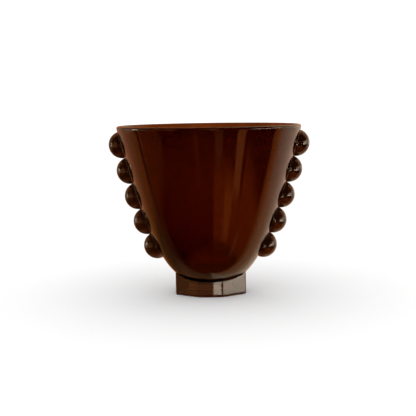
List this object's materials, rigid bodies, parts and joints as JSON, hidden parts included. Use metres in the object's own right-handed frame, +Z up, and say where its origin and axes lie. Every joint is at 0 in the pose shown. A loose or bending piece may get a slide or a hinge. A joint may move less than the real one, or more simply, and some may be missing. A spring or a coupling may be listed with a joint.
{
  "type": "footed glass vase",
  "caption": "Dark amber pressed-glass vase: a flared bowl on a faceted foot, with a column of half-ball glass lobes down each side.",
  "frame": {"origin": "middle of the foot's flat underside", "axes": "+Z up along the vase's axis, +X through the right-hand lobe column, -Y the front"},
  "size_m": [0.2156, 0.1972, 0.1821],
  "materials": {
    "bowl_glass": "polished",
    "foot_glass": "polished",
    "lobe_glass": "polished"
  },
  "bodies": {
    "root": {"bowl": "bowl_glass", "foot": "foot_glass", "left_lobe_1": "lobe_glass", "left_lobe_2": "lobe_glass", "left_lobe_3": "lobe_glass", "left_lobe_4": "lobe_glass", "left_lobe_5": "lobe_glass", "right_lobe_1": "lobe_glass", "right_lobe_2": "lobe_glass", "right_lobe_3": "lobe_glass", "right_lobe_4": "lobe_glass", "right_lobe_5": "lobe_glass"}
  },
  "joints": []
}
